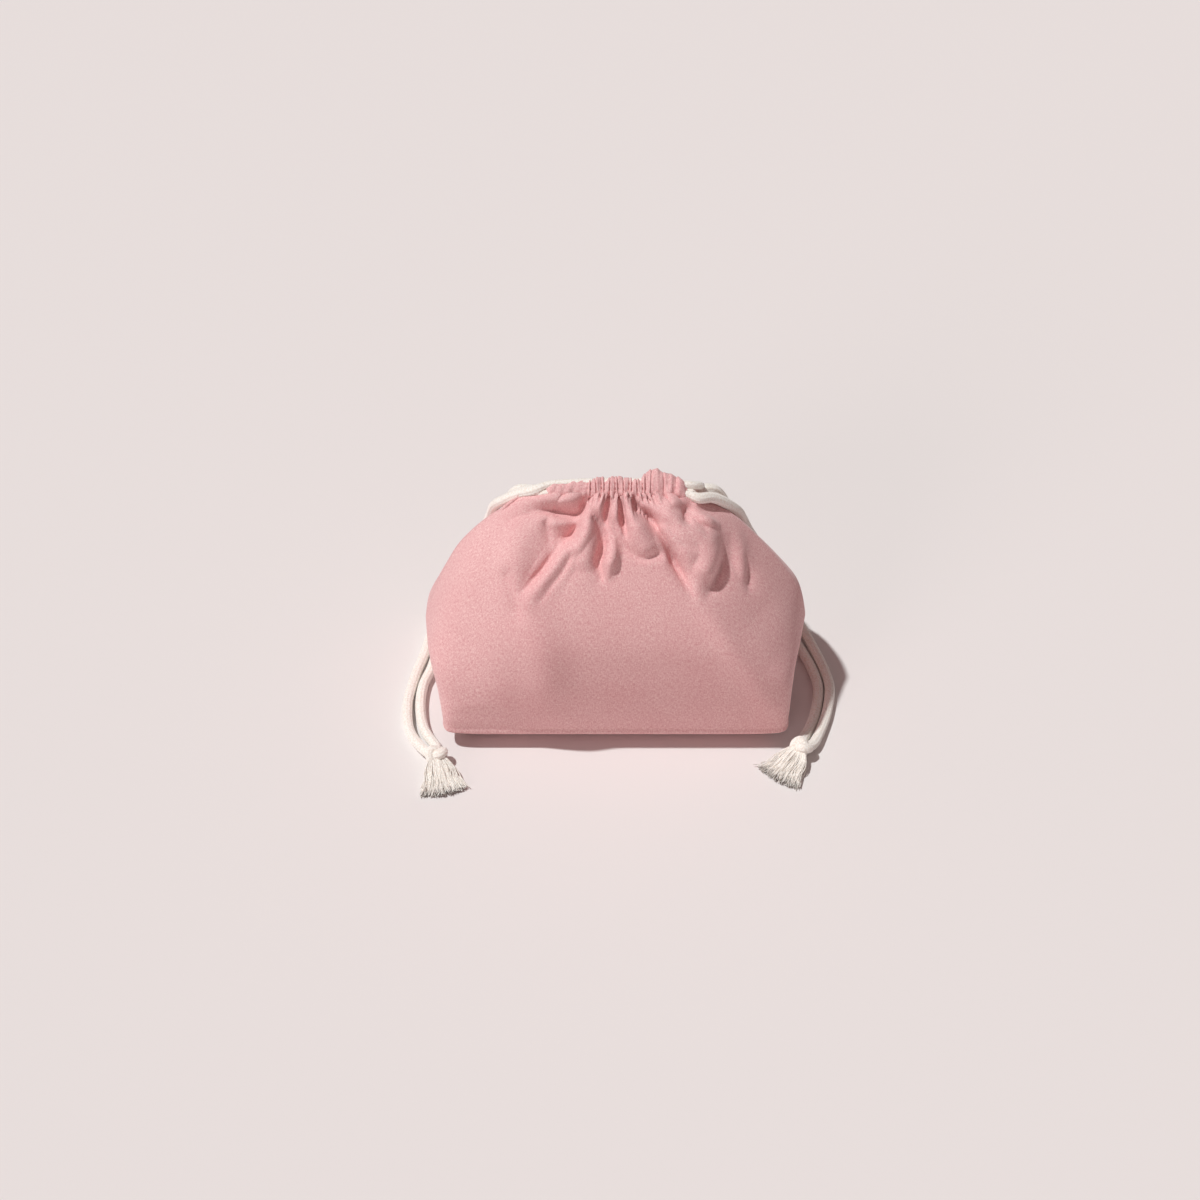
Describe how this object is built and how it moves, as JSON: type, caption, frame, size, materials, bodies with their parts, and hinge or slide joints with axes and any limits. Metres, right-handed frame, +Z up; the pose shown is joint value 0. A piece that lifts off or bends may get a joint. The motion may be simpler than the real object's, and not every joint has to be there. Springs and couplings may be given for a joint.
{
  "type": "drawstring lunch bag",
  "caption": "Cotton drawstring lunch bag standing filled on its boxed base, its gathered mouth drawn shut by cords that leave at each side and end in knots and tassels.",
  "frame": {"origin": "on the ground, under the middle of the boxed base", "axes": "+X to the right along the mouth, +Y to the back, +Z up"},
  "size_m": [0.2515, 0.1563, 0.1566],
  "materials": {
    "canvas": "pale pink cotton canvas, matt",
    "cord": "off-white knitted cotton cord, matt"
  },
  "bodies": {
    "bag": {"base_panel": "canvas", "front_panel": "canvas", "back_panel": "canvas", "base_seam": "canvas", "right_side_seam": "canvas", "left_side_seam": "canvas", "front_casing": "canvas", "back_casing": "canvas", "right_cord_loop": "cord", "left_cord_loop": "cord"},
    "right_drawcord": {"right_front_tail": "cord", "right_back_tail": "cord", "right_knot": "cord", "right_tassel": "cord"},
    "left_drawcord": {"left_front_tail": "cord", "left_back_tail": "cord", "left_knot": "cord", "left_tassel": "cord"}
  },
  "joints": [
    {"name": "right_pull", "type": "slide", "parent": "bag", "child": "right_drawcord", "axis": [1, 0, 0], "range_m": [0, 0.02]},
    {"name": "left_pull", "type": "slide", "parent": "bag", "child": "left_drawcord", "axis": [-1, 0, 0], "range_m": [0, 0.02]}
  ]
}
